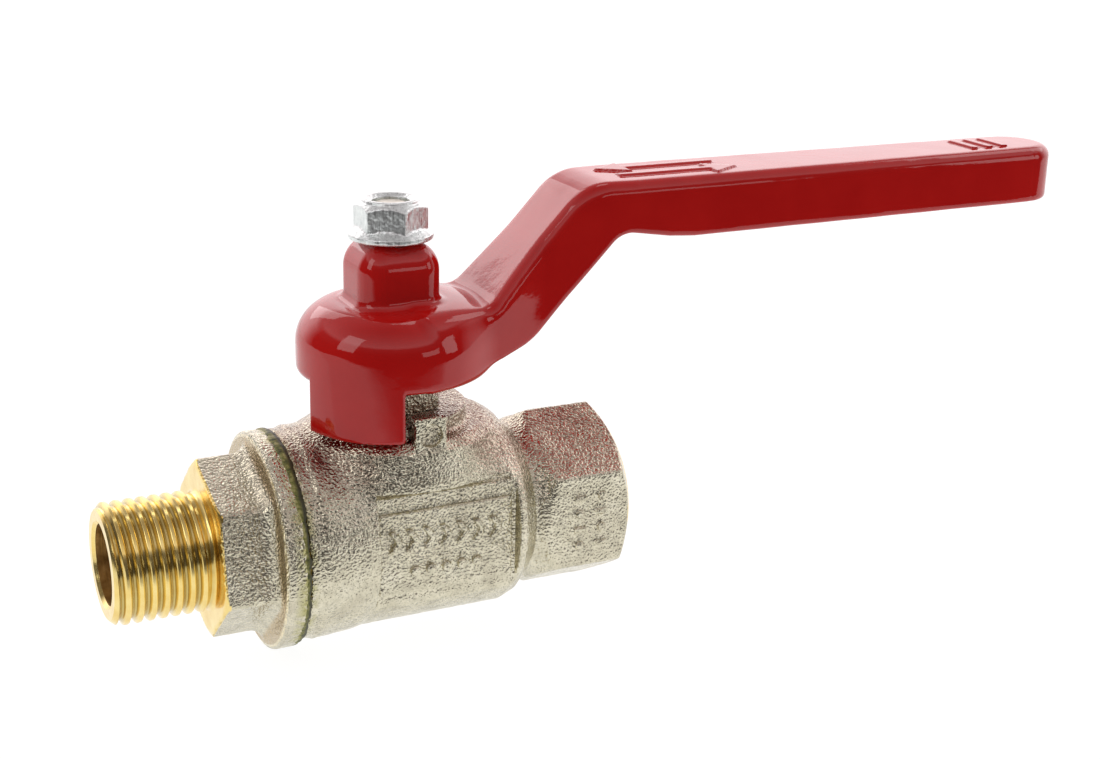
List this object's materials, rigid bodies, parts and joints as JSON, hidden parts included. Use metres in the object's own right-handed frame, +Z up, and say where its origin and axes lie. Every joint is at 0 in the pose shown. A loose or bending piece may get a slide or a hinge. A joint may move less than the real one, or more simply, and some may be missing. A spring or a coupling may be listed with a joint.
{
  "type": "ball valve",
  "caption": "Small two-piece threaded ball valve with a male inlet, a female outlet and a long cranked lever that turns a bored ball through a quarter turn.",
  "frame": {"origin": "centre of the ball, where the flow axis and the stem axis cross", "axes": "+X along the flow axis from the male end to the female end, +Z up the stem, lever along +X when open"},
  "size_m": [0.1209, 0.0248, 0.05],
  "materials": {
    "nickel_forging": "nickel plated over a fine sand-blasted forging",
    "machined_connector": "machined brass, nickel plated hexagon",
    "sealant": "cured thread sealant, dull",
    "chrome_ball": "chrome plated, polished",
    "seat_polymer": "waxy",
    "stem_brass": "turned",
    "gland_brass": "nickel plated",
    "red_paint": "gloss enamel on a cast lever",
    "zinc_plate": "bright zinc plated"
  },
  "bodies": {
    "valve_body": {"body": "nickel_forging", "end_connector": "machined_connector", "sealant_bead": "sealant", "inlet_seat_ring": "seat_polymer", "outlet_seat_ring": "seat_polymer", "stem_thrust_washer": "seat_polymer", "lower_packing_ring": "seat_polymer", "upper_packing_ring": "seat_polymer", "gland_nut": "gland_brass"},
    "lever": {"handle": "red_paint", "handle_nut": "zinc_plate", "stem": "stem_brass"},
    "ball": {"ball": "chrome_ball"}
  },
  "joints": [
    {"name": "handle_turn", "type": "hinge", "parent": "valve_body", "child": "lever", "pos_m": [0, 0, 0], "axis": [0, 0, 1], "range_deg": [-90, 0]},
    {"name": "ball_turn", "type": "hinge", "parent": "valve_body", "child": "ball", "pos_m": [0, 0, 0], "axis": [0, 0, 1], "range_deg": [-90, 0]}
  ],
  "couplings": [
    {"joint": "ball_turn", "follows": "handle_turn", "ratio": 1}
  ]
}
